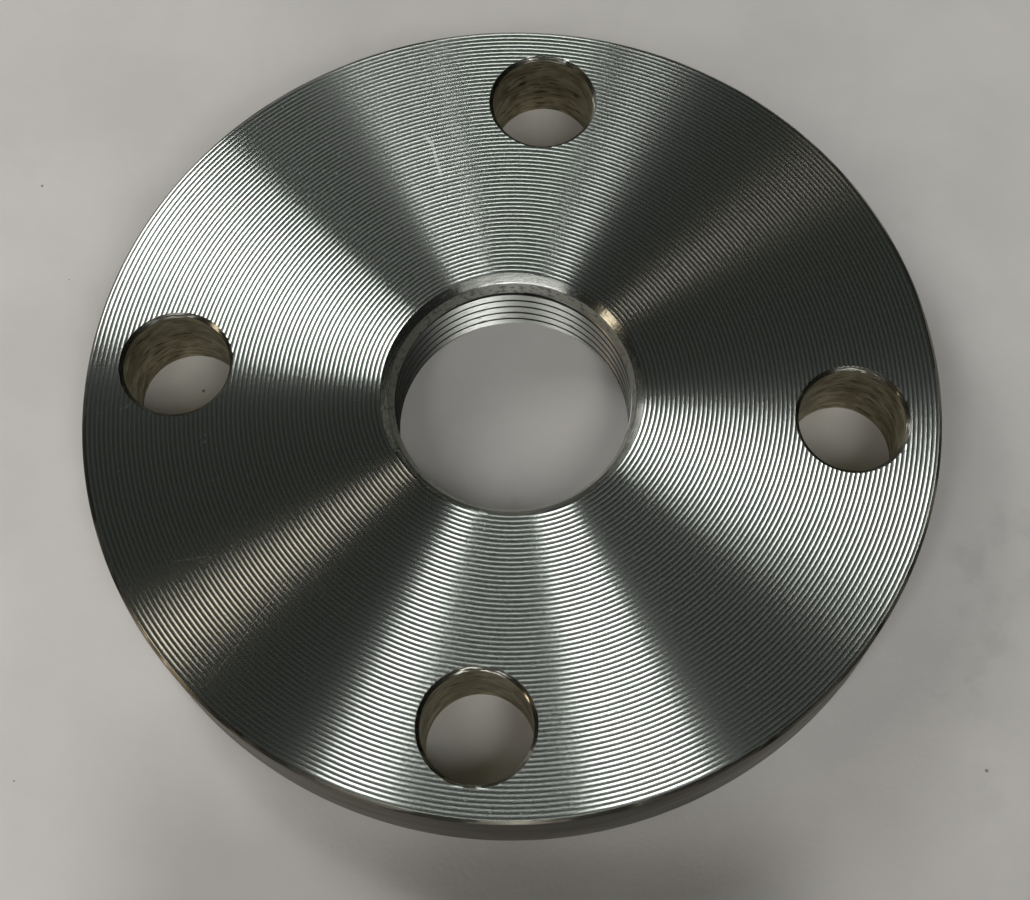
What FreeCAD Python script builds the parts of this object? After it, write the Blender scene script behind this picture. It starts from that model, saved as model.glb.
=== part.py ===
import FreeCAD, Part
import Sketcher
import math
import os

# A plate flange turned from one steel blank: a flat disc with a chamfered rim, plain bolt holes and a
# central bore tapped right through with a parallel pipe thread, behind a countersink of two angles.
# Millimetres. The origin is the centre of the back face, and +Z points out of the gasket face.

# Driving dimensions: name, value, what it measures
SIZES = [
    ("outer_diameter", 140.0, "rim of the plate"),
    ("thickness", 16.0, "back face to gasket face"),
    ("rim_chamfer", 0.6, "45 degree chamfer on both edges of the rim"),
    ("hole_count", 4, "bolt holes, evenly spaced round the bore"),
    ("hole_diameter", 17.5, "wall of each bolt hole, clear of an M16 bolt"),
    ("hole_chamfer", 0.7, "broken edge of each bolt hole on the gasket face"),
    ("rim_wall", 5.75, "steel left between each bolt hole and the rim"),
    ("thread_major", 41.91, "across the roots of the internal pipe thread"),
    ("thread_pitch", 2.309, "eleven threads to the inch"),
    ("mouth_clearance", 0.7, "countersink outside the thread roots, at the gasket face"),
    ("mouth_chamfer", 1.3, "outer band of the countersink, at 45 degrees"),
    ("seat_depth", 1.8, "inner, steeper band of the countersink, along the axis"),
    ("back_chamfer", 1.0, "45 degree chamfer where the thread leaves the back face"),
]

# Whitworth thread form: flank angle, then the depth and the flat at crest and root, in pitches
FLANK_ANGLE = 27.5
FORM_DEPTH = 0.640327
FORM_FLAT = 0.1667
# How far the thread's cutter stands inside the bore, in mm, and how far beyond each face, in pitches
CUTTER_OVERLAP = 0.2
CUTTER_OVERRUN = 1.5

NODE = "flange_plate"

# Places worked out from the sheet
OUTER_RADIUS = "Sizes.outer_diameter / 2"
HOLE_CIRCLE_RADIUS = "(Sizes.outer_diameter / 2 - Sizes.rim_wall - Sizes.hole_diameter / 2)"
MINOR_RADIUS = f"(Sizes.thread_major / 2 - {FORM_DEPTH} * Sizes.thread_pitch)"
MOUTH_RADIUS = "(Sizes.thread_major / 2 + Sizes.mouth_clearance)"


def add_sheet(doc):
    """The sheet of driving dimensions, one row each: name, value, meaning."""
    sheet = doc.addObject("Spreadsheet::Sheet", "Sizes")
    for row, (name, value, meaning) in enumerate(SIZES, start=1):
        sheet.set(f"A{row}", name)
        sheet.set(f"B{row}", str(value))
        sheet.setAlias(f"B{row}", name)
        sheet.set(f"C{row}", meaning)
    doc.recompute()


def origin_feature(body, role):
    """One of the body's own base planes or axes."""
    return next(feature for feature in body.Origin.OriginFeatures if feature.Role == role)


def add_sketch(body, name, plane):
    """An empty sketch on one of the body's base planes."""
    sketch = body.newObject("Sketcher::SketchObject", name)
    sketch.AttachmentSupport = [(origin_feature(body, plane), "")]
    sketch.MapMode = "FlatFace"
    return sketch


def number(sketch, expression):
    """What an expression comes to with the sheet's present values."""
    found = sketch.evalExpression(expression)
    return getattr(found, "Value", found)


def bind(sketch, constraint, expression):
    """Adds a dimension to the sketch and ties it to an expression."""
    index = sketch.addConstraint(constraint)
    sketch.setExpression(f"Constraints[{index}]", expression)


def pin_point(sketch, line, vertex, across, up):
    """Dimensions a vertex from the sketch's origin, or puts it on an axis where the distance is none."""
    for kind, axis, expression in (("DistanceX", -2, across), ("DistanceY", -1, up)):
        if expression == "0":
            sketch.addConstraint(Sketcher.Constraint("PointOnObject", line, vertex, axis))
        else:
            length = number(sketch, expression)
            bind(sketch, Sketcher.Constraint(kind, -1, 1, line, vertex, length), expression)


def draw_outline(sketch, corners):
    """A closed outline of straight lines through corners, each given by two expressions."""
    spots = [FreeCAD.Vector(number(sketch, across), number(sketch, up), 0) for across, up in corners]
    for line, spot in enumerate(spots):
        sketch.addGeometry(Part.LineSegment(spot, spots[(line + 1) % len(spots)]), False)
    for line, (across, up) in enumerate(corners):
        following = (line + 1) % len(corners)
        sketch.addConstraint(Sketcher.Constraint("Coincident", line, 2, following, 1))
        pin_point(sketch, line, 1, across, up)


def turn_blank(doc, body):
    """The turned blank: its half section, with the countersink and the back chamfer turned into its faces."""
    sketch = add_sketch(body, "plate_section", "XZ_Plane")
    draw_outline(sketch, [
        ("0", "Sizes.back_chamfer"),
        (MINOR_RADIUS, "Sizes.back_chamfer"),
        (f"{MINOR_RADIUS} + Sizes.back_chamfer", "0"),
        (f"{OUTER_RADIUS} - Sizes.rim_chamfer", "0"),
        (OUTER_RADIUS, "Sizes.rim_chamfer"),
        (OUTER_RADIUS, "Sizes.thickness - Sizes.rim_chamfer"),
        (f"{OUTER_RADIUS} - Sizes.rim_chamfer", "Sizes.thickness"),
        (MOUTH_RADIUS, "Sizes.thickness"),
        (f"{MOUTH_RADIUS} - Sizes.mouth_chamfer", "Sizes.thickness - Sizes.mouth_chamfer"),
        (MINOR_RADIUS, "Sizes.thickness - Sizes.mouth_chamfer - Sizes.seat_depth"),
        ("0", "Sizes.thickness - Sizes.mouth_chamfer - Sizes.seat_depth"),
    ])
    blank = body.newObject("PartDesign::Revolution", "turned_blank")
    blank.Profile = sketch
    blank.ReferenceAxis = (sketch, ["V_Axis"])
    blank.Angle = 360
    doc.recompute()


def drill_bolt_holes(doc, body):
    """One drilled hole with its edge broken on the gasket face, then its pattern round the bore."""
    sketch = add_sketch(body, "hole_centre", "XY_Plane")
    sketch.setExpression("AttachmentOffset.Base.z", "Sizes.thickness")
    centre = FreeCAD.Vector(number(sketch, HOLE_CIRCLE_RADIUS), 0, 0)
    radius = number(sketch, "Sizes.hole_diameter / 2")
    sketch.addGeometry(Part.Circle(centre, FreeCAD.Vector(0, 0, 1), radius), False)
    pin_point(sketch, 0, 3, HOLE_CIRCLE_RADIUS, "0")
    bind(sketch, Sketcher.Constraint("Radius", 0, radius), "Sizes.hole_diameter / 2")
    doc.recompute()

    drilled = body.newObject("PartDesign::Hole", "bolt_hole")
    drilled.Profile = sketch
    doc.recompute()
    drilled.DepthType = "ThroughAll"
    drilled.HoleCutType = "Countersink"
    drilled.HoleCutCustomValues = True
    drilled.HoleCutCountersinkAngle = 90
    drilled.setExpression("Diameter", "Sizes.hole_diameter")
    drilled.setExpression("HoleCutDiameter", "Sizes.hole_diameter + 2 * Sizes.hole_chamfer")
    doc.recompute()

    pattern = body.newObject("PartDesign::PolarPattern", "bolt_holes")
    pattern.Originals = [drilled]
    pattern.Axis = (origin_feature(body, "Z_Axis"), [""])
    pattern.Angle = 360
    pattern.setExpression("Occurrences", "Sizes.hole_count")
    body.Tip = pattern
    doc.recompute()


def bore_centre(doc, body):
    """The tapping bore, right through. Its circle is four arcs, which keep the crest in quarter turns."""
    sketch = add_sketch(body, "bore_circle", "XY_Plane")
    radius = number(sketch, MINOR_RADIUS)
    circle = Part.Circle(FreeCAD.Vector(0, 0, 0), FreeCAD.Vector(0, 0, 1), radius)
    quarter = math.pi / 2
    for arc in range(4):
        sketch.addGeometry(Part.ArcOfCircle(circle, arc * quarter, (arc + 1) * quarter), False)
        sketch.addConstraint(Sketcher.Constraint("Coincident", arc, 3, -1, 1))
        # each arc starts on an axis of the sketch: the horizontal one, then the vertical one
        sketch.addConstraint(Sketcher.Constraint("PointOnObject", arc, 1, -1 - arc % 2))
    for arc in range(4):
        sketch.addConstraint(Sketcher.Constraint("Coincident", arc, 2, (arc + 1) % 4, 1))
    bind(sketch, Sketcher.Constraint("Radius", 0, radius), MINOR_RADIUS)
    doc.recompute()
    bore = body.newObject("PartDesign::Pocket", "tapping_bore")
    bore.Profile = sketch
    bore.Type = "ThroughAll"
    bore.Reversed = True
    bore.Refine = False
    body.Tip = bore
    doc.recompute()


def tap_thread(doc, body):
    """The tapped thread: its groove's section, swept up a helix from below the back face to above the mouth."""
    slope = math.tan(math.radians(FLANK_ANGLE))
    root_half = f"{FORM_FLAT / 2} * Sizes.thread_pitch"
    inner_half = f"({root_half} + {slope} * ({FORM_DEPTH} * Sizes.thread_pitch + {CUTTER_OVERLAP}))"
    overrun = f"{CUTTER_OVERRUN} * Sizes.thread_pitch"
    sketch = add_sketch(body, "thread_section", "XZ_Plane")
    draw_outline(sketch, [
        (f"{MINOR_RADIUS} - {CUTTER_OVERLAP}", f"-{overrun} - {inner_half}"),
        ("Sizes.thread_major / 2", f"-{overrun} - {root_half}"),
        ("Sizes.thread_major / 2", f"-{overrun} + {root_half}"),
        (f"{MINOR_RADIUS} - {CUTTER_OVERLAP}", f"-{overrun} + {inner_half}"),
    ])
    doc.recompute()
    thread = body.newObject("PartDesign::SubtractiveHelix", "pipe_thread")
    thread.Profile = sketch
    thread.ReferenceAxis = (sketch, ["V_Axis"])
    thread.Mode = "pitch-height-angle"
    thread.HasBeenEdited = True
    # unrefined, as the bore is, so that each quarter turn of the crest stays a face of its own
    thread.Refine = False
    thread.setExpression("Pitch", "Sizes.thread_pitch")
    thread.setExpression("Height", f"Sizes.thickness + 2 * {overrun}")
    body.Tip = thread
    doc.recompute()


def check(doc, body):
    """Stops the build if a feature failed or the body isn't one valid solid."""
    failed = [item.Name for item in doc.Objects if "Invalid" in item.State or "Error" in item.State]
    if failed:
        raise RuntimeError(f"these features failed: {failed}")
    shape = body.Shape
    if shape.isNull() or not shape.isValid() or len(shape.Solids) != 1:
        raise RuntimeError(f"{body.Label} is not one valid solid")


doc = FreeCAD.newDocument("pipe_flange")
add_sheet(doc)
flange = doc.addObject("PartDesign::Body", NODE)
flange.Label = NODE
flange.Placement = FreeCAD.Placement()

# Each cut has to take steel away, so the volume is compared after every step
volumes = []
for step in (turn_blank, drill_bolt_holes, bore_centre, tap_thread):
    step(doc, flange)
    volumes.append(flange.Shape.Volume)
    print(f"{step.__name__}: {flange.Shape.Volume:.1f} mm3")
if sorted(volumes, reverse=True) != volumes or len(set(volumes)) != len(volumes):
    raise RuntimeError(f"a cut took nothing away: {volumes}")
check(doc, flange)

os.makedirs("parts", exist_ok=True)
flange.Shape.exportStep(f"parts/{NODE}.step")
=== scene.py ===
"""A steel pipe flange lying on its back face: faced, drilled for four bolts, bored and tapped.

Metres, in the frame of the CAD part: the origin is the centre of the back face, +Z points out of the
grooved gasket face, and the bolt holes lie on the X and Y axes.
"""

import logging
import math
from dataclasses import dataclass, field
from enum import Enum

import bmesh
import bpy
from mathutils import Matrix, Vector


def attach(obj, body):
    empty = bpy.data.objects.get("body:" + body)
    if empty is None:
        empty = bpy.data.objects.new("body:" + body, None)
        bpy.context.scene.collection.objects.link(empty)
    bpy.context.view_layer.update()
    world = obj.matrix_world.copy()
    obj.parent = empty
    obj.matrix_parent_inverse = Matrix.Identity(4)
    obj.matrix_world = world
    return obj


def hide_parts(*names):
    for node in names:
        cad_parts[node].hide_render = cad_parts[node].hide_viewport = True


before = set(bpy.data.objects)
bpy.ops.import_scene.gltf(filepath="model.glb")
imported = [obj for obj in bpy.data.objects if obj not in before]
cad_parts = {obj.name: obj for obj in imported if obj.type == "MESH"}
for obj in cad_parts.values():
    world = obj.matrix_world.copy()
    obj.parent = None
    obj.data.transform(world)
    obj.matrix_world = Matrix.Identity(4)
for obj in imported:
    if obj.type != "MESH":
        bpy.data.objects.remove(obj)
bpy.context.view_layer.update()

log = logging.getLogger("pipe_flange")

MM = 0.001
FULL_TURN = 2 * math.pi
# Vertices nearer than this are one vertex
WELD = 0.004 * MM
# How far cutters reach past the faces that they cut
OVER = 0.4 * MM
PART = "flange_plate"
# How near a face lies to the surface that it belongs to
NEAR = 0.02 * MM
VERY_NEAR = 0.01 * MM
# Faces that meet at more than this show an edge
SHARP_ANGLE = math.radians(24)
# The bolt circle, whose radius also spaces the grid that the hole axes stand on
HOLE_CIRCLE_RADIUS = 55.5 * MM
# This many times the height is added to the radius, so that tool lines also show on a cone of 45 degrees
CONE_LIFT = 1.3
# Noise units for each metre between two hole axes, so that no two holes share a pattern
AXIS_SHIFT = 150.0
# How strongly the finer octaves of the noise show, in the steel's streaks and in the paper's tone
STREAK_OCTAVES = 0.55
PAPER_OCTAVES = 0.6
# Turns the highlight by a quarter, so that it spreads across the tool lines
ACROSS_LINES = 0.25
# Roughness inside a scratch or ding, and its depth in millimetres
MARK_ROUGHNESS = 0.55
MARK_DEPTH = 0.015
# The dim even light of the room
ROOM_COLOUR = "#f2f6ea"
ROOM_STRENGTH = 0.021


def linear(hex_colour: str) -> tuple[float, float, float, float]:
    """Turns an sRGB hex colour into the linear colour that a shader takes.

    Args:
        hex_colour: six hex digits after a hash.

    Returns:
        Linear red, green, blue and an alpha of one.
    """
    channels = [int(hex_colour[place:place + 2], 16) / 255 for place in (1, 3, 5)]
    return (*(c / 12.92 if c <= 0.04045 else ((c + 0.055) / 1.055) ** 2.4 for c in channels), 1.0)


def add_node(tree: bpy.types.NodeTree, kind: str, sockets: dict | None = None,
             **settings: object) -> bpy.types.Node:
    """Adds a node with its settings and its inputs.

    Args:
        tree: the material's node tree.
        kind: the node's type name, without its ShaderNode prefix.
        sockets: input name or number to a value, or to an output socket that is linked to it.
        settings: the node's own properties.

    Returns:
        The new node.
    """
    node = tree.nodes.new("ShaderNode" + kind)
    for name, value in settings.items():
        setattr(node, name, value)
    for name, value in (sockets or {}).items():
        if isinstance(value, bpy.types.NodeSocket):
            tree.links.new(value, node.inputs[name])
        else:
            node.inputs[name].default_value = value
    return node


def add_object(name: str, data: bpy.types.ID) -> bpy.types.Object:
    """Adds an object to the scene.

    Args:
        name: the object's name.
        data: the mesh, light or camera that it shows.

    Returns:
        The object, at the origin.
    """
    thing = bpy.data.objects.new(name, data)
    bpy.context.scene.collection.objects.link(thing)
    return thing


def mesh_of(bm: bmesh.types.BMesh, name: str) -> bpy.types.Mesh:
    """Merges a bmesh's doubles, turns its faces outwards and writes it to a new mesh.

    Args:
        bm: the finished bmesh, which is freed.
        name: the mesh's name.

    Returns:
        The mesh.
    """
    bmesh.ops.remove_doubles(bm, verts=bm.verts, dist=WELD)
    bmesh.ops.recalc_face_normals(bm, faces=bm.faces)
    mesh = bpy.data.meshes.new(name)
    bm.to_mesh(mesh)
    bm.free()
    return mesh


def rectangle(name: str, width: float, depth: float, centre: Vector) -> bpy.types.Mesh:
    """Makes one level rectangular face.

    Args:
        name: the mesh's name.
        width: size along X.
        depth: size along Y.
        centre: where its middle lies.

    Returns:
        The mesh.
    """
    bm = bmesh.new()
    bmesh.ops.create_grid(bm, x_segments=1, y_segments=1, size=0.5)
    bmesh.ops.scale(bm, vec=(width, depth, 1), verts=bm.verts)
    bmesh.ops.translate(bm, vec=centre, verts=bm.verts)
    mesh = bpy.data.meshes.new(name)
    bm.to_mesh(mesh)
    bm.free()
    return mesh


def turned(outline: list[tuple[float, float]], steps: int) -> bmesh.types.BMesh:
    """Spins a closed half section about the Z axis.

    Args:
        outline: corners as radius and height, in order round the section.
        steps: facets in a full turn.

    Returns:
        A bmesh of the turned solid's skin.
    """
    bm = bmesh.new()
    corners = [bm.verts.new((radius, 0, height)) for radius, height in outline]
    edges = [bm.edges.new(pair) for pair in zip(corners, corners[1:] + corners[:1])]
    bmesh.ops.spin(bm, geom=corners + edges, cent=(0, 0, 0), axis=(0, 0, 1), angle=FULL_TURN,
                   steps=steps, use_merge=True, use_duplicate=False)
    return bm


def soften_rings(bm: bmesh.types.BMesh, rings: list[tuple[float, float]], width: float) -> None:
    """Rounds the circular edges that lie at the given radii and heights.

    Args:
        bm: a turned bmesh about the Z axis.
        rings: radius and height of each circle.
        width: offset of the bevel.
    """
    def on_ring(vert: bmesh.types.BMVert) -> bool:
        """Whether the vertex lies on one of the circles."""
        radius = math.hypot(vert.co.x, vert.co.y)
        return any(math.hypot(radius - r, vert.co.z - z) < WELD for r, z in rings)

    edges = [e for e in bm.edges
             if all(on_ring(v) for v in e.verts) and abs(e.verts[0].co.z - e.verts[1].co.z) < WELD]
    bmesh.ops.bevel(bm, geom=edges, affect="EDGES", offset=width, segments=3, profile=0.5, material=-1)


def combine(base: bpy.types.Object, tools: list[bpy.types.Mesh], operation: str) -> None:
    """Cuts or intersects a piece with a list of closed meshes, one after the other.

    Args:
        base: the piece, whose mesh is replaced by the result.
        tools: the meshes to combine with it, which are removed.
        operation: DIFFERENCE or INTERSECT.
    """
    for mesh in tools:
        tool = add_object("cutter", mesh)
        boolean = base.modifiers.new("cut", "BOOLEAN")
        boolean.operation = operation
        boolean.solver = "MANIFOLD"
        boolean.object = tool
        result = bpy.data.meshes.new_from_object(base.evaluated_get(bpy.context.evaluated_depsgraph_get()))
        base.modifiers.clear()
        old, base.data = base.data, result
        for spent in (mesh, old):
            bpy.data.meshes.remove(spent)


class Surface(Enum):
    """The machined surfaces of the plate, in the order of its material slots."""

    FACED = 0
    RIM = 1
    BACK = 2
    DRILLED = 3
    HOLE_EDGE = 4
    COUNTERSUNK = 5
    SEAT = 6
    TAPPED = 7
    CREST = 8
    RIM_EDGE = 9


@dataclass
class FacingCut:
    """The spiral left on the gasket face by one round-nosed tool, fed from the bore to the rim."""

    top: float
    inner_radius: float
    outer_radius: float
    feed: float = 0.757 * MM
    depth: float = 0.11 * MM
    steps: int = 256
    # the turn is spun in this many parts, which is quicker than all at once
    sectors: int = 16
    # one groove across the feed: how far along it, and how deep
    nose: tuple[tuple[float, float], ...] = ((0.0, 0.0), (0.25, 0.75), (0.5, 1.0), (0.75, 0.75))

    def sector(self, number: int) -> bmesh.types.BMesh:
        """Spins one sector of the spiral, which drifts outwards by one feed in a whole turn.

        Args:
            number: which sector, counted from the X axis.

        Returns:
            An open sheet with every groove of that sector.
        """
        bm = bmesh.new()
        share = number / self.sectors
        start = Vector((math.cos(FULL_TURN * share), math.sin(FULL_TURN * share), 0))
        grooves = math.ceil((self.outer_radius - self.inner_radius) / self.feed)
        places = [(groove + along, dip) for groove in range(grooves) for along, dip in self.nose]
        places.append((grooves, 0.0))
        verts = []
        for place, dip in places:
            spot = start * (self.inner_radius + (place + share) * self.feed)
            verts.append(bm.verts.new((spot.x, spot.y, self.top - dip * self.depth)))
        edges = [bm.edges.new(pair) for pair in zip(verts, verts[1:])]
        bmesh.ops.spin(bm, geom=verts + edges, cent=(0, 0, 0), axis=(0, 0, 1),
                       angle=FULL_TURN / self.sectors, dvec=start * self.feed / self.steps,
                       steps=self.steps // self.sectors, use_merge=False, use_duplicate=False)
        return bm

    def slab(self) -> bpy.types.Mesh:
        """Builds a closed ring whose top is the spiral cut and whose bottom lies below the plate.

        Returns:
            The ring's mesh, to be intersected with the turned plate.
        """
        bm = bmesh.new()
        for number in range(self.sectors):
            part = self.sector(number)
            mesh = bpy.data.meshes.new("sector")
            part.to_mesh(mesh)
            part.free()
            bm.from_mesh(mesh)
            bpy.data.meshes.remove(mesh)
        bmesh.ops.remove_doubles(bm, verts=bm.verts, dist=WELD)
        open_edges = [edge for edge in bm.edges if edge.is_boundary]
        walls = bmesh.ops.extrude_edge_only(bm, edges=open_edges)["geom"]
        lowered = [item for item in walls if isinstance(item, bmesh.types.BMVert)]
        bmesh.ops.scale(bm, vec=(1, 1, 0), verts=lowered)
        bmesh.ops.translate(bm, vec=(0, 0, -OVER), verts=lowered)
        bmesh.ops.bridge_loops(bm, edges=[edge for edge in bm.edges if edge.is_boundary])
        return mesh_of(bm, "facing")


@dataclass
class ThreadedBore:
    """The central bore: a countersink of two angles, then a parallel pipe thread right through."""

    major_radius: float = 20.955 * MM
    pitch: float = 2.309 * MM
    form_depth: float = 0.640327
    form_flat: float = 0.1667
    flank_angle: float = math.radians(27.5)
    mouth_clearance: float = 0.7 * MM
    mouth_chamfer: float = 1.3 * MM
    seat_depth: float = 1.8 * MM
    # the edge between the countersink's two bands is worn round
    seat_softness: float = 0.2 * MM
    back_chamfer: float = 1.0 * MM
    # the cutter's section stands inside the bore by this much
    overlap: float = 0.2 * MM
    # pitches that the cutter runs beyond each face
    overrun: float = 1.5
    # length over which the groove grows shallow at the seat, the share of it below the seat, and how
    # nearly the groove closes
    lead: float = 0.8 * MM
    lead_below: float = 0.6
    lead_close: float = 0.95
    steps: int = 128

    @property
    def minor_radius(self) -> float:
        """Radius across the thread's crests."""
        return self.major_radius - self.form_depth * self.pitch

    @property
    def mouth_radius(self) -> float:
        """Radius of the countersink at the gasket face."""
        return self.major_radius + self.mouth_clearance

    def thread_cutter(self, thickness: float) -> bpy.types.Mesh:
        """Sweeps the groove's section up a right-hand helix.

        Args:
            thickness: the plate's thickness.

        Returns:
            The mesh of the cutter.
        """
        root_half = self.form_flat * self.pitch / 2
        inner = self.minor_radius - self.overlap
        inner_half = root_half + math.tan(self.flank_angle) * (self.major_radius - inner)
        start = -self.overrun * self.pitch
        bm = bmesh.new()
        section = [(inner, -inner_half), (self.major_radius, -root_half),
                   (self.major_radius, root_half), (inner, inner_half)]
        corners = [bm.verts.new((r, 0, start + z)) for r, z in section]
        edges = [bm.edges.new(pair) for pair in zip(corners, corners[1:] + corners[:1])]
        bmesh.ops.spin(bm, geom=corners + edges, cent=(0, 0, 0), axis=(0, 0, 1), angle=FULL_TURN,
                       dvec=(0, 0, self.pitch / self.steps), steps=self.steps,
                       use_merge=False, use_duplicate=False)
        one_turn = list(bm.verts) + list(bm.edges) + list(bm.faces)
        for turn in range(1, math.ceil(thickness / self.pitch + 2 * self.overrun)):
            copy = bmesh.ops.duplicate(bm, geom=one_turn)["geom"]
            bmesh.ops.translate(bm, vec=(0, 0, turn * self.pitch),
                                verts=[item for item in copy if isinstance(item, bmesh.types.BMVert)])
        bmesh.ops.remove_doubles(bm, verts=bm.verts, dist=WELD)
        # the helix is open at its two ends
        bmesh.ops.holes_fill(bm, edges=[edge for edge in bm.edges if edge.is_boundary], sides=4)
        # the tap's tapered lead stopped at the seat, so the groove grows shallow and ends there
        fade_from = thickness - self.mouth_chamfer - self.seat_depth - self.lead * self.lead_below
        for vert in bm.verts:
            share = min(max((vert.co.z - fade_from) / self.lead, 0.0), self.lead_close)
            radius = math.hypot(vert.co.x, vert.co.y)
            squeeze = (radius - share * (radius - inner)) / radius
            vert.co.x, vert.co.y = vert.co.x * squeeze, vert.co.y * squeeze
        return mesh_of(bm, "thread")


@dataclass
class BoltHoles:
    """The plain bolt holes near the rim, drilled through and broken on the gasket face."""

    circle_radius: float = HOLE_CIRCLE_RADIUS
    radius: float = 8.75 * MM
    edge_break: float = 0.7 * MM
    count: int = 4
    steps: int = 96

    def cutters(self, thickness: float) -> list[bpy.types.Mesh]:
        """Builds a cutter for each hole.

        Args:
            thickness: the plate's thickness.

        Returns:
            One closed mesh for each hole.
        """
        meshes = []
        for number in range(self.count):
            bm = bmesh.new()
            height = thickness - self.edge_break + OVER
            bmesh.ops.create_cone(bm, cap_ends=True, segments=self.steps, radius1=self.radius,
                                  radius2=self.radius, depth=height)
            bmesh.ops.translate(bm, vec=(0, 0, height / 2 - OVER), verts=bm.verts)
            lid = max(bm.faces, key=lambda face: face.calc_center_median().z)
            flare = bmesh.ops.extrude_face_region(bm, geom=[lid])["geom"]
            rim = [item for item in flare if isinstance(item, bmesh.types.BMVert)]
            bmesh.ops.delete(bm, geom=[lid], context="FACES_ONLY")
            widen = (self.radius + self.edge_break + OVER) / self.radius
            bmesh.ops.scale(bm, vec=(widen, widen, 1), verts=rim)
            bmesh.ops.translate(bm, vec=(0, 0, self.edge_break + OVER), verts=rim)
            bmesh.ops.translate(bm, vec=(self.circle_radius, 0, 0), verts=bm.verts)
            turn = Matrix.Rotation(FULL_TURN * number / self.count, 3, "Z")
            bmesh.ops.rotate(bm, cent=(0, 0, 0), matrix=turn, verts=bm.verts)
            meshes.append(mesh_of(bm, "hole"))
        return meshes


@dataclass
class FlangePlate:
    """The whole plate, machined from one blank."""

    outer_radius: float = 70.0 * MM
    thickness: float = 16.0 * MM
    rim_chamfer: float = 0.6 * MM
    # the edges between the rim and its chamfers are a little round
    edge_softness: float = 0.09 * MM
    # the facing cut starts this far inside the thread's crests, so that the slab which carries it takes
    # nothing off the bore, and ends this far past the rim
    cut_inside: float = 1.3 * MM
    cut_outside: float = 1.2 * MM
    # faces nearer to the top than this belong to the gasket face
    face_band: float = 0.1 * MM
    steps: int = 256
    bore: ThreadedBore = field(default_factory=ThreadedBore)
    holes: BoltHoles = field(default_factory=BoltHoles)

    def blank(self) -> bpy.types.Mesh:
        """Turns the blank with its bore, countersink and chamfers, standing proud of the gasket face.

        Returns:
            The mesh of the turned blank.
        """
        bore, top = self.bore, self.thickness
        outline = [
            (bore.minor_radius + bore.back_chamfer, 0),
            (self.outer_radius - self.rim_chamfer, 0),
            (self.outer_radius, self.rim_chamfer),
            (self.outer_radius, top - self.rim_chamfer),
            (self.outer_radius - self.rim_chamfer - OVER, top + OVER),
            (bore.mouth_radius + OVER, top + OVER),
            (bore.mouth_radius - bore.mouth_chamfer, top - bore.mouth_chamfer),
            (bore.minor_radius, top - bore.mouth_chamfer - bore.seat_depth),
            (bore.minor_radius, bore.back_chamfer),
        ]
        bm = turned(outline, self.steps)
        soften_rings(bm, [outline[2], outline[3]], self.edge_softness)
        soften_rings(bm, [outline[6]], bore.seat_softness)
        return mesh_of(bm, "blank")

    def surface_at(self, centre: Vector) -> Surface:
        """Names the machined surface that a face of the finished plate belongs to.

        Args:
            centre: the face's centre.

        Returns:
            The surface.
        """
        radius = math.hypot(centre.x, centre.y)
        if radius < self.bore.mouth_radius:
            seat_top = self.thickness - self.bore.mouth_chamfer
            seat = seat_top - self.bore.seat_depth
            if centre.z > seat_top - self.bore.seat_softness / 2:
                return Surface.COUNTERSUNK
            if centre.z > seat + NEAR:
                return Surface.SEAT
            on_crest = radius < self.bore.minor_radius + NEAR and centre.z > self.bore.back_chamfer
            return Surface.CREST if on_crest else Surface.TAPPED
        reach = max(abs(centre.x), abs(centre.y)) - self.holes.circle_radius
        off_centre = math.hypot(reach, min(abs(centre.x), abs(centre.y)))
        if off_centre < self.holes.radius + VERY_NEAR:
            return Surface.DRILLED
        below_face = centre.z < self.thickness - self.face_band
        if off_centre < self.holes.radius + self.holes.edge_break and below_face:
            return Surface.HOLE_EDGE
        if centre.z < VERY_NEAR:
            return Surface.BACK
        if radius > self.outer_radius - self.rim_chamfer:
            on_wall = self.rim_chamfer < centre.z < self.thickness - self.rim_chamfer
            return Surface.RIM if on_wall else Surface.RIM_EDGE
        return Surface.FACED

    def build(self, finishes: dict[Surface, bpy.types.Material]) -> bpy.types.Object:
        """Machines the plate and gives each surface its finish.

        Args:
            finishes: the material of each surface.

        Returns:
            The finished piece.
        """
        piece = add_object("machined_flange", self.blank())
        combine(piece, [self.bore.thread_cutter(self.thickness)], "DIFFERENCE")
        combine(piece, self.holes.cutters(self.thickness), "DIFFERENCE")
        facing = FacingCut(top=self.thickness, inner_radius=self.bore.minor_radius - self.cut_inside,
                           outer_radius=self.outer_radius + self.cut_outside)
        combine(piece, [facing.slab()], "INTERSECT")
        mesh = piece.data
        mesh.materials.clear()
        for surface in Surface:
            mesh.materials.append(finishes[surface])
        for polygon in mesh.polygons:
            polygon.material_index = self.surface_at(polygon.center).value
        mesh.shade_smooth()
        mesh.set_sharp_from_angle(angle=SHARP_ANGLE)
        return piece


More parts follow.
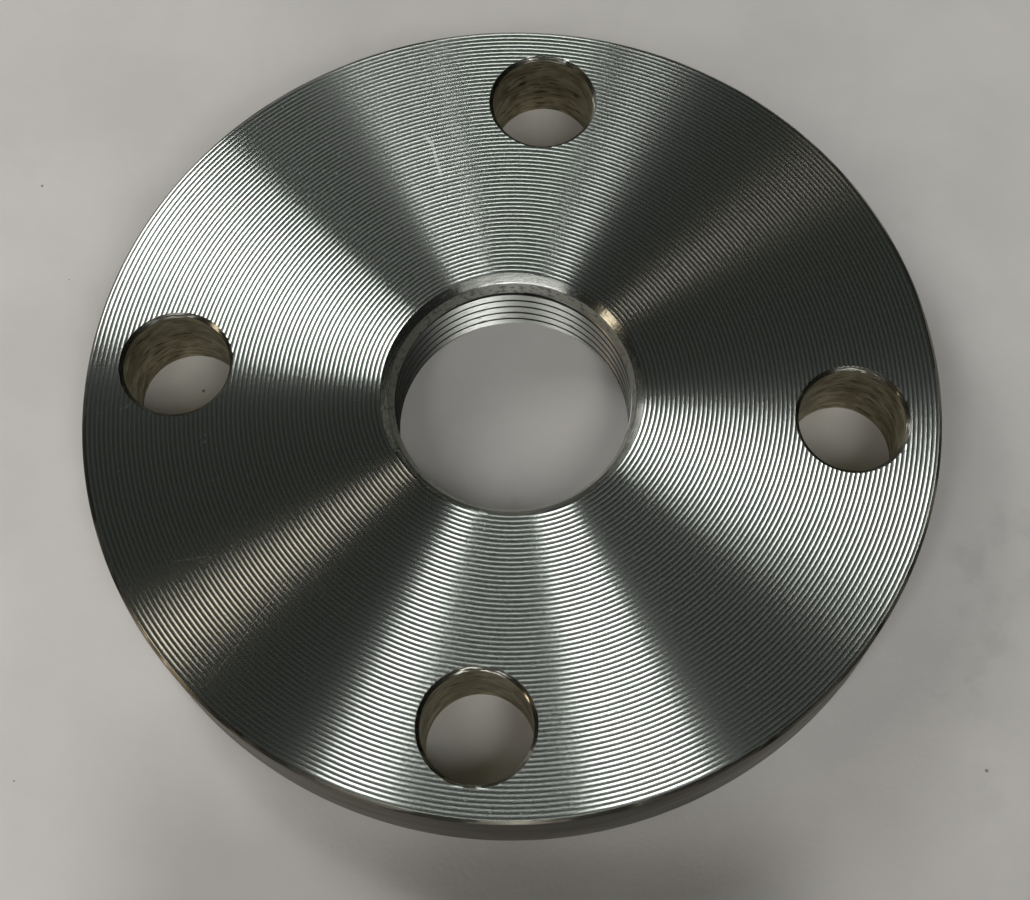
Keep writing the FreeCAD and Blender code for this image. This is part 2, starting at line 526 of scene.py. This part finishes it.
@dataclass(frozen=True)
class Mark:
    """One scratch, ding or rub on the gasket face: a straight stroke with round ends, in millimetres."""

    start: tuple[float, float]
    end: tuple[float, float]
    width: float
    strength: float

    def mask(self, tree: bpy.types.NodeTree, flat: bpy.types.NodeSocket) -> bpy.types.NodeSocket:
        """Masks the stroke.

        Args:
            tree: the material's node tree.
            flat: the place on the face, with no height.

        Returns:
            The stroke's strength along its middle, fading to zero at its width.
        """
        reach = (Vector(self.end) - Vector(self.start)).to_3d() * MM
        away = add_node(tree, "VectorMath", {0: flat, 1: Vector(self.start).to_3d() * MM},
                        operation="SUBTRACT").outputs[0]
        if reach.length:
            share = add_node(tree, "VectorMath", {0: away, 1: reach / reach.length_squared},
                             operation="DOT_PRODUCT").outputs["Value"]
            share = add_node(tree, "Math", {0: share, 1: 0.0}, operation="ADD", use_clamp=True).outputs[0]
            foot = add_node(tree, "VectorMath", {0: reach, "Scale": share}, operation="SCALE").outputs[0]
            away = add_node(tree, "VectorMath", {0: away, 1: foot}, operation="SUBTRACT").outputs[0]
        distance = add_node(tree, "VectorMath", {0: away}, operation="LENGTH").outputs["Value"]
        return add_node(tree, "MapRange", {
            "Value": distance, "From Min": 0.0, "From Max": self.width * MM, "To Min": self.strength,
            "To Max": 0.0}, interpolation_type="SMOOTHSTEP").outputs["Result"]


@dataclass(frozen=True)
class Film:
    """Patches of oil, dirt or torn metal, drawn out along the tool lines."""

    colour: str
    # the patches cover more of the surface as this falls from one to zero
    threshold: float
    # how far a patch reaches round the axis, in radians, and across the lines
    reach: float
    spacing: float
    roughness: float
    softness: float = 0.08


@dataclass(frozen=True)
class SteelFinish:
    """Carbon steel as one machining step leaves it."""

    name: str
    colour: str
    roughness: float
    anisotropy: float
    # the tool lines: how high, how far apart, and how far one runs round the axis, in radians. They are
    # as coarse as such tools ever leave them, so that they show
    line_height: float
    line_spacing: float
    line_reach: float = 0.05
    films: tuple[Film, ...] = ()
    marks: tuple[Mark, ...] = ()
    chatter_count: int = 0
    chatter_height: float = 0.0
    # the surface runs round axes that stand on a square grid this wide, or round the Z axis alone
    axes_apart: float = 0.0
    # inside this radius the surface is drawn nearly black
    darkening_radius: float = 0.0
    darkening_colour: str = "#1b1a16"
    darkening_strength: float = 0.92
    darkening_fade: float = 0.08 * MM

    def material(self) -> bpy.types.Material:
        """Builds the material.

        Returns:
            The material, with its tool lines and patches running round the axis.
        """
        material = bpy.data.materials.new(self.name)
        material.use_nodes = True
        tree = material.node_tree
        tree.nodes.clear()
        place = add_node(tree, "TexCoord").outputs["Object"]
        flat = add_node(tree, "VectorMath", {0: place, 1: (1, 1, 0)}, operation="MULTIPLY").outputs[0]
        shift = (0, 0, 0)
        if self.axes_apart:
            half, step = self.axes_apart / 2, self.axes_apart
            near = add_node(tree, "VectorMath", {0: flat, 1: (half, half, 0)}, operation="ADD").outputs[0]
            centre = add_node(tree, "VectorMath", {0: near, 1: (step, step, 1)},
                              operation="SNAP").outputs[0]
            flat = add_node(tree, "VectorMath", {0: flat, 1: centre}, operation="SUBTRACT").outputs[0]
            shift = add_node(tree, "VectorMath", {0: centre, "Scale": AXIS_SHIFT},
                             operation="SCALE").outputs[0]
        radius = add_node(tree, "VectorMath", {0: flat}, operation="LENGTH").outputs["Value"]
        heading = add_node(tree, "VectorMath", {0: flat}, operation="NORMALIZE").outputs[0]
        height = add_node(tree, "SeparateXYZ", {0: place}).outputs["Z"]
        across = add_node(tree, "Math", {0: height, 1: CONE_LIFT, 2: radius},
                          operation="MULTIPLY_ADD").outputs[0]

        def drawn_out(reach: float, spacing: float, detail: float) -> bpy.types.NodeSocket:
            """Makes noise that is long round the axis and narrow across it.

            Args:
                reach: how far a streak runs round the axis, in radians.
                spacing: distance between streaks, across them.
                detail: octaves of finer noise.

            Returns:
                The noise, about a half on average.
            """
            turn = add_node(tree, "VectorMath", {0: heading, "Scale": 1 / reach},
                            operation="SCALE").outputs[0]
            lines = add_node(tree, "Math", {0: across, 1: 1 / spacing}, operation="MULTIPLY").outputs[0]
            lifted = add_node(tree, "CombineXYZ", {"Z": lines}).outputs[0]
            moved = add_node(tree, "VectorMath", {0: turn, 1: shift}, operation="ADD").outputs[0]
            polar = add_node(tree, "VectorMath", {0: moved, 1: lifted}, operation="ADD").outputs[0]
            return add_node(tree, "TexNoise", {"Vector": polar, "Scale": 1.0, "Detail": detail,
                                               "Roughness": STREAK_OCTAVES}).outputs["Fac"]

        relief = add_node(tree, "Math", {0: drawn_out(self.line_reach, self.line_spacing, detail=1.0),
                                         1: self.line_height / MM}, operation="MULTIPLY").outputs[0]
        if self.chatter_count:
            split = add_node(tree, "SeparateXYZ", {0: flat})
            angle = add_node(tree, "Math", {0: split.outputs["Y"], 1: split.outputs["X"]},
                             operation="ARCTAN2").outputs[0]
            wave = add_node(tree, "Math", {0: angle, 1: float(self.chatter_count)},
                            operation="MULTIPLY").outputs[0]
            wave = add_node(tree, "Math", {0: wave}, operation="SINE").outputs[0]
            relief = add_node(tree, "Math", {0: wave, 1: self.chatter_height / MM, 2: relief},
                              operation="MULTIPLY_ADD").outputs[0]
        colour: bpy.types.NodeSocket | tuple = linear(self.colour)
        roughness: bpy.types.NodeSocket | float = self.roughness
        for film in self.films:
            noise = drawn_out(film.reach, film.spacing, detail=3.0)
            low, high = film.threshold - film.softness, film.threshold + film.softness
            mask = add_node(tree, "MapRange", {"Value": noise, "From Min": low, "From Max": high},
                            interpolation_type="SMOOTHSTEP").outputs["Result"]
            colour = add_node(tree, "Mix", {0: mask, 6: colour, 7: linear(film.colour)},
                              data_type="RGBA").outputs[2]
            roughness = add_node(tree, "Mix", {0: mask, 2: roughness, 3: film.roughness}).outputs[0]
        # the surface inside the darkening radius is drawn nearly black
        if self.darkening_radius:
            darkened = add_node(tree, "MapRange", {
                "Value": radius, "From Min": self.darkening_radius, "From Max": self.darkening_radius + self.darkening_fade,
                "To Min": self.darkening_strength, "To Max": 0.0}).outputs["Result"]
            colour = add_node(tree, "Mix", {0: darkened, 6: colour, 7: linear(self.darkening_colour)},
                              data_type="RGBA").outputs[2]
        for mark in self.marks:
            mask = mark.mask(tree, flat)
            roughness = add_node(tree, "Mix", {0: mask, 2: roughness, 3: MARK_ROUGHNESS}).outputs[0]
            relief = add_node(tree, "Math", {0: mask, 1: -MARK_DEPTH, 2: relief},
                              operation="MULTIPLY_ADD").outputs[0]
        # all relief is in millimetres
        bump = add_node(tree, "Bump", {"Strength": 1.0, "Distance": MM, "Height": relief}).outputs["Normal"]
        # the lines run round the axis
        tangent = add_node(tree, "VectorMath", {0: (0, 0, 1), 1: heading},
                           operation="CROSS_PRODUCT").outputs[0]
        shader = add_node(tree, "BsdfPrincipled", {
            "Base Color": colour, "Metallic": 1.0, "Roughness": roughness, "Anisotropic": self.anisotropy,
            "Anisotropic Rotation": ACROSS_LINES, "Normal": bump, "Tangent": tangent})
        add_node(tree, "OutputMaterial", {"Surface": shader.outputs[0]})
        return material


@dataclass(frozen=True)
class Blotches:
    """Soft uneven patches in the paper's tone."""

    # how wide a patch is, and its octaves of finer noise
    size: float
    detail: float
    # the noise at which a patch starts to show, the noise at which it is full, and how strong it is then
    start: float
    full: float
    strength: float

    def mask(self, tree: bpy.types.NodeTree, place: bpy.types.NodeSocket) -> bpy.types.NodeSocket:
        """Masks the patches.

        Args:
            tree: the material's node tree.
            place: the place on the sheet.

        Returns:
            Zero between the patches, and their strength inside them.
        """
        noise = add_node(tree, "TexNoise", {"Vector": place, "Scale": 1 / self.size, "Detail": self.detail,
                                            "Roughness": PAPER_OCTAVES}).outputs["Fac"]
        return add_node(tree, "MapRange", {
            "Value": noise, "From Min": self.start, "From Max": self.full, "To Max": self.strength},
            interpolation_type="SMOOTHSTEP").outputs["Result"]


@dataclass
class PaperSheet:
    """The pale paper that the plate lies on."""

    width: float = 3.0
    colour: str = "#dedbd6"
    smudge: str = "#9a9894"
    speck: str = "#5e5a52"
    roughness: float = 0.8
    # a slight unevenness everywhere
    shade: Blotches = Blotches(size=35 * MM, detail=4.0, start=0.35, full=0.7, strength=0.16)
    # grey hand smudges: where they lie, and the finer mottling inside them
    handled: Blotches = Blotches(size=60 * MM, detail=2.0, start=0.6, full=0.68, strength=0.6)
    mottling: Blotches = Blotches(size=7 * MM, detail=5.0, start=0.45, full=0.68, strength=0.3)
    # specks stand on cells this wide, in the cells whose random value is above the start, and are at
    # most this share of one
    speck_cell: float = 9 * MM
    speck_start: float = 0.6
    speck_share: float = 0.035
    speck_strength: float = 0.7
    # the sheet's waves and its grain: their width, and their height in millimetres
    cockle: float = 25 * MM
    cockle_height: float = 0.25
    grain: float = 1.1 * MM
    grain_height: float = 0.035

    def material(self) -> bpy.types.Material:
        """Builds matt uncoated paper: a soft cockle, a felt-like grain, grey hand smudges and a few specks.

        Returns:
            The material.
        """
        material = bpy.data.materials.new("uncoated_paper")
        material.use_nodes = True
        tree = material.node_tree
        tree.nodes.clear()
        place = add_node(tree, "TexCoord").outputs["Object"]
        colour = add_node(tree, "Mix", {0: self.shade.mask(tree, place), 6: linear(self.colour),
                                        7: linear(self.smudge)}, data_type="RGBA").outputs[2]
        patch = add_node(tree, "Math", {
            0: self.handled.mask(tree, place), 1: self.mottling.mask(tree, place)},
            operation="MULTIPLY").outputs[0]
        colour = add_node(tree, "Mix", {0: patch, 6: colour, 7: linear(self.smudge)},
                          data_type="RGBA").outputs[2]
        cells = add_node(tree, "TexVoronoi", {"Vector": place, "Scale": 1 / self.speck_cell})
        size = add_node(tree, "SeparateXYZ", {0: cells.outputs["Color"]}).outputs["X"]
        limit = add_node(tree, "MapRange", {
            "Value": size, "From Min": self.speck_start, "To Max": self.speck_share},
            interpolation_type="SMOOTHSTEP").outputs["Result"]
        dot = add_node(tree, "Math", {0: cells.outputs["Distance"], 1: limit},
                       operation="LESS_THAN").outputs[0]
        dot = add_node(tree, "Math", {0: dot, 1: self.speck_strength}, operation="MULTIPLY").outputs[0]
        colour = add_node(tree, "Mix", {0: dot, 6: colour, 7: linear(self.speck)},
                          data_type="RGBA").outputs[2]
        # the grain is drawn coarser than real fibres, so that it shows
        waves = add_node(tree, "TexNoise", {"Vector": place, "Scale": 1 / self.cockle, "Detail": 1.0})
        wavy = add_node(tree, "Math", {0: waves.outputs["Fac"], 1: self.cockle_height},
                        operation="MULTIPLY").outputs[0]
        fibres = add_node(tree, "TexNoise", {"Vector": place, "Scale": 1 / self.grain, "Detail": 3.0,
                                             "Roughness": PAPER_OCTAVES})
        relief = add_node(tree, "Math", {0: fibres.outputs["Fac"], 1: self.grain_height, 2: wavy},
                          operation="MULTIPLY_ADD").outputs[0]
        bump = add_node(tree, "Bump", {"Strength": 1.0, "Distance": MM, "Height": relief}).outputs["Normal"]
        shader = add_node(tree, "BsdfPrincipled", {
            "Base Color": colour, "Roughness": self.roughness, "Normal": bump})
        add_node(tree, "OutputMaterial", {"Surface": shader.outputs[0]})
        return material

    def build(self) -> bpy.types.Object:
        """Builds the sheet.

        Returns:
            The sheet.
        """
        sheet = add_object("paper_sheet", rectangle("paper", self.width, self.width, Vector()))
        sheet.data.materials.append(self.material())
        return sheet


@dataclass(frozen=True)
class ShadowFlag:
    """A studio flag: a card, seen only by its shadow, that keeps the near lights off the paper in front."""

    centre: Vector = Vector((20 * MM, -152 * MM, 60 * MM))
    width: float = 100 * MM
    depth: float = 120 * MM

    def build(self) -> bpy.types.Object:
        """Hangs the card.

        Returns:
            The card's object.
        """
        card = add_object("shadow_flag", rectangle("flag", self.width, self.depth, self.centre))
        card.visible_camera = card.visible_diffuse = card.visible_glossy = False
        return card


@dataclass(frozen=True)
class SoftBox:
    """One rectangular studio light, aimed at the plate."""

    name: str
    # direction from the plate, in degrees
    azimuth: float
    elevation: float
    width: float
    height: float
    radiance: float
    colour: str = "#ffffff"
    # turn about its own axis, in degrees
    lean: float = 0.0
    distance: float = 1.2

    def build(self) -> bpy.types.Object:
        """Hangs the light.

        Returns:
            The light's object.
        """
        lamp = bpy.data.lights.new(self.name, "AREA")
        lamp.shape = "RECTANGLE"
        lamp.size, lamp.size_y = self.width, self.height
        lamp.energy = self.radiance * math.pi * self.width * self.height
        lamp.color = linear(self.colour)[:3]
        light = add_object(self.name, lamp)
        azimuth, elevation = math.radians(self.azimuth), math.radians(self.elevation)
        towards = Vector((math.cos(elevation) * math.cos(azimuth), math.cos(elevation) * math.sin(azimuth),
                          math.sin(elevation)))
        light.location = towards * self.distance
        aim = towards.to_track_quat("Z", "Y").to_matrix() @ Matrix.Rotation(math.radians(self.lean), 3, "Z")
        light.rotation_euler = aim.to_euler()
        light.visible_camera = False
        return light


@dataclass(frozen=True)
class Viewpoint:
    """The camera: held close over the plate, looking steeply down."""

    # where it stands, and the compass direction, dip and tilt of its view
    location: Vector = Vector((16.168 * MM, -110.190 * MM, 271.380 * MM))
    heading: float = math.radians(-5.323)
    dip: float = math.radians(68.494)
    roll: float = math.radians(-0.225)
    # focal length and sensor width in millimetres
    lens: float = 59.656
    sensor: float = 36.0
    clip_start: float = 10 * MM
    shift_x: float = -0.03246
    shift_y: float = 0.00122

    def build(self) -> bpy.types.Object:
        """Sets up the camera and makes it the scene's.

        Returns:
            The camera's object.
        """
        data = bpy.data.cameras.new("camera")
        data.lens, data.sensor_width, data.sensor_fit = self.lens, self.sensor, "HORIZONTAL"
        data.shift_x, data.shift_y = self.shift_x, self.shift_y
        data.clip_start = self.clip_start
        camera = add_object("camera", data)
        forward = Vector((math.sin(self.heading) * math.cos(self.dip),
                          math.cos(self.heading) * math.cos(self.dip), -math.sin(self.dip)))
        right = forward.cross(Vector((0, 0, 1))).normalized()
        up = right.cross(forward)
        basis = Matrix((right, up, -forward)).transposed() @ Matrix.Rotation(self.roll, 3, "Z")
        camera.matrix_world = Matrix.Translation(self.location) @ basis.to_4x4()
        bpy.context.scene.camera = camera
        return camera


# Each mark's start and end, width and strength
WEAR = (
    # faint scratches below the left hole
    Mark((-32.2, -35.4), (-41.8, -52.7), 0.2, 0.12),
    Mark((-29.2, -31.2), (-25.9, -36.8), 0.45, 0.1),
    Mark((-25.9, -36.8), (-21.9, -39.0), 0.5, 0.08),
    Mark((-50.2, -33.8), (-44.6, -32.4), 0.2, 0.16),
    # dings between the left hole and the bore
    Mark((-48.7, -11.9), (-48.7, -11.9), 0.3, 0.8),
    Mark((-48.6, -13.0), (-48.5, -13.3), 0.26, 0.8),
    Mark((-49.5, -12.5), (-49.5, -12.5), 0.2, 0.7),
    Mark((-47.9, -11.6), (-47.9, -11.6), 0.2, 0.5),
    Mark((-61.9, -7.9), (-62.3, -8.4), 0.2, 0.3),
    Mark((-62.9, -8.6), (-63.3, -9.1), 0.2, 0.3),
    # a rub across the grooves beside the far hole
    Mark((-19.3, 46.4), (-18.3, 45.3), 0.5, 0.5),
    Mark((-18.3, 45.3), (-17.4, 42.7), 0.45, 0.35),
    Mark((-17.4, 42.7), (-16.1, 39.3), 0.45, 0.4),
)

FINISHES = {
    # carbon steel faced on a lathe: bright across the grooves, clear along them, with a few torn spots;
    # the fine lines inside the grooves are drawn at the feed's own spacing, so that they show
    Surface.FACED: SteelFinish(
        "faced_steel", "#ced3cc", roughness=0.24, anisotropy=1.0, line_height=0.003 * MM,
        line_spacing=0.75 * MM, marks=WEAR,
        films=(Film("#8f918d", 0.74, reach=0.02, spacing=0.3 * MM, roughness=0.34, softness=0.05),)),
    # the rim was turned with a finer feed and has been handled since, so it is duller and a little brown
    Surface.RIM: SteelFinish(
        "turned_rim_steel", "#67645a", roughness=0.32, anisotropy=0.7, line_height=0.005 * MM,
        line_spacing=0.4 * MM, line_reach=0.9,
        films=(Film("#57554c", 0.55, reach=1.2, spacing=0.45 * MM, roughness=0.4, softness=0.12),
               Film("#5a564a", 0.58, reach=0.3, spacing=8.0 * MM, roughness=0.42, softness=0.15))),
    # its chamfers are cut clean but stained, so they only flash where a light stands low
    Surface.RIM_EDGE: SteelFinish(
        "chamfered_rim_steel", "#6d6a60", roughness=0.2, anisotropy=0.4, line_height=0.004 * MM,
        line_spacing=0.3 * MM, line_reach=0.1,
        films=(Film("#2d2c27", 0.5, reach=0.2, spacing=0.5 * MM, roughness=0.42),)),
    # the back is out of sight, and is given the satin that a fine facing feed leaves
    Surface.BACK: SteelFinish(
        "turned_back_steel", "#bfc0bd", roughness=0.35, anisotropy=0.7, line_height=0.006 * MM,
        line_spacing=0.3 * MM),
    # drilled walls keep burnt oil in their feed marks: olive and brown streaks that run round the hole
    Surface.DRILLED: SteelFinish(
        "drilled_steel", "#b0aa91", roughness=0.44, anisotropy=0.4, line_height=0.016 * MM,
        line_spacing=0.7 * MM, line_reach=0.6, axes_apart=HOLE_CIRCLE_RADIUS,
        films=(Film("#8b846a", 0.5, reach=0.5, spacing=3.0 * MM, roughness=0.5, softness=0.12),
               Film("#4a4334", 0.6, reach=0.35, spacing=0.55 * MM, roughness=0.55))),
    # the broken edge of each hole, left by a countersink in short facets
    Surface.HOLE_EDGE: SteelFinish(
        "broken_edge_steel", "#8b8a82", roughness=0.2, anisotropy=0.4, line_height=0.018 * MM,
        line_spacing=0.35 * MM, line_reach=0.18, axes_apart=HOLE_CIRCLE_RADIUS,
        films=(Film("#3f3d36", 0.47, reach=0.3, spacing=0.5 * MM, roughness=0.42, softness=0.05),)),
    # the countersink's outer cone was cut slowly, and the tool chattered a little across it
    Surface.COUNTERSUNK: SteelFinish(
        "countersunk_steel", "#a2a49d", roughness=0.2, anisotropy=0.6, line_height=0.012 * MM,
        line_spacing=0.8 * MM, chatter_count=180, chatter_height=0.0007 * MM,
        films=(Film("#82847c", 0.6, reach=0.1, spacing=0.6 * MM, roughness=0.32, softness=0.1),)),
    # its inner cone was torn by a blunter tool, so it is matt
    Surface.SEAT: SteelFinish(
        "torn_seat_steel", "#a3a49c", roughness=0.5, anisotropy=0.2, line_height=0.02 * MM,
        line_spacing=0.6 * MM,
        films=(Film("#6f6e63", 0.6, reach=0.05, spacing=0.8 * MM, roughness=0.55, softness=0.1),)),
    # tapped flanks are burnished by the tap, with a few torn streaks, and are drawn nearly black next to
    # the crests
    Surface.TAPPED: SteelFinish(
        "tapped_steel", "#989a94", roughness=0.33, anisotropy=0.1, line_height=0.006 * MM,
        line_spacing=0.35 * MM, line_reach=0.08, darkening_radius=19.51 * MM,
        films=(Film("#77756c", 0.64, reach=0.08, spacing=0.3 * MM, roughness=0.4),)),
    # the crests are drawn nearly black
    Surface.CREST: SteelFinish(
        "black_crest_steel", "#24231f", roughness=0.4, anisotropy=0.2, line_height=0.006 * MM,
        line_spacing=0.35 * MM, line_reach=0.08,
        films=(Film("#4c4b44", 0.68, reach=0.1, spacing=0.3 * MM, roughness=0.4),)),
}

# Each box's name, azimuth, elevation, width, height and radiance, and a colour where it isn't white
LIGHTS = [
    SoftBox("far_left_low", 141.5, 9.5, 0.58, 0.5, 3.0),
    SoftBox("far_left_middle", 140, 27.5, 0.52, 0.24, 5.5),
    SoftBox("far_left_high", 137.3, 38, 0.32, 0.22, 8.6, lean=15),
    SoftBox("far_left_top", 131.5, 47.8, 0.108, 0.22, 8.0, lean=34),
    SoftBox("far_gap", 117.5, 21, 0.28, 0.42, 0.42),
    SoftBox("far_middle_low", 95.5, 10.5, 0.37, 0.24, 3.4, "#fafffb"),
    SoftBox("far_middle_high", 95, 20, 0.25, 0.22, 2.7, "#fafffb"),
    SoftBox("near_left_high", 237.8, 57.5, 0.14, 0.34, 7.0),
    SoftBox("near_left_low", 242.5, 44, 0.22, 0.26, 2.5),
    SoftBox("near_middle", 268, 44, 0.5, 0.24, 0.7),
    SoftBox("near_right_high", 304.5, 58, 0.28, 0.38, 7.1),
    SoftBox("near_right_low", 303, 46.5, 0.32, 0.17, 4.5),
    SoftBox("near_low", 268, 15.5, 1.25, 0.2, 4.8),
    SoftBox("near_low_upper", 275, 26, 1.45, 0.18, 1.1),
    SoftBox("near_low_right", 277, 8, 0.2, 0.14, 5.0),
    SoftBox("warm_left", 197, 42, 0.15, 0.32, 3.1, "#ffeee2", lean=5),
    SoftBox("warm_left_low", 206, 15.5, 0.18, 0.26, 3.0, "#ffedd2"),
    SoftBox("warm_left_floor", 206, 5, 0.2, 0.16, 7.0, "#ffe9cc"),
    SoftBox("overhead", 100, 76, 0.45, 0.5, 0.07, "#eaf5ee"),
]


def light_room() -> None:
    """Lights the scene: soft boxes, and a dim even room."""
    for light in LIGHTS:
        light.build()
    world = bpy.data.worlds.new("dim_room")
    world.use_nodes = True
    background = world.node_tree.nodes["Background"]
    background.inputs["Color"].default_value = linear(ROOM_COLOUR)
    background.inputs["Strength"].default_value = ROOM_STRENGTH
    bpy.context.scene.world = world


def main() -> None:
    """Builds the plate, the paper, the lights and the camera."""
    logging.basicConfig(level=logging.INFO, format="%(name)s: %(message)s")
    finishes = {surface: finish.material() for surface, finish in FINISHES.items()}
    plate = FlangePlate().build(finishes)
    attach(plate, "root")
    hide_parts(PART)
    log.info("%s: %d faces", plate.name, len(plate.data.polygons))
    PaperSheet().build()
    ShadowFlag().build()
    light_room()
    Viewpoint().build()
    bpy.context.scene.view_settings.view_transform = "Standard"


if __name__ == "__main__":
    main()
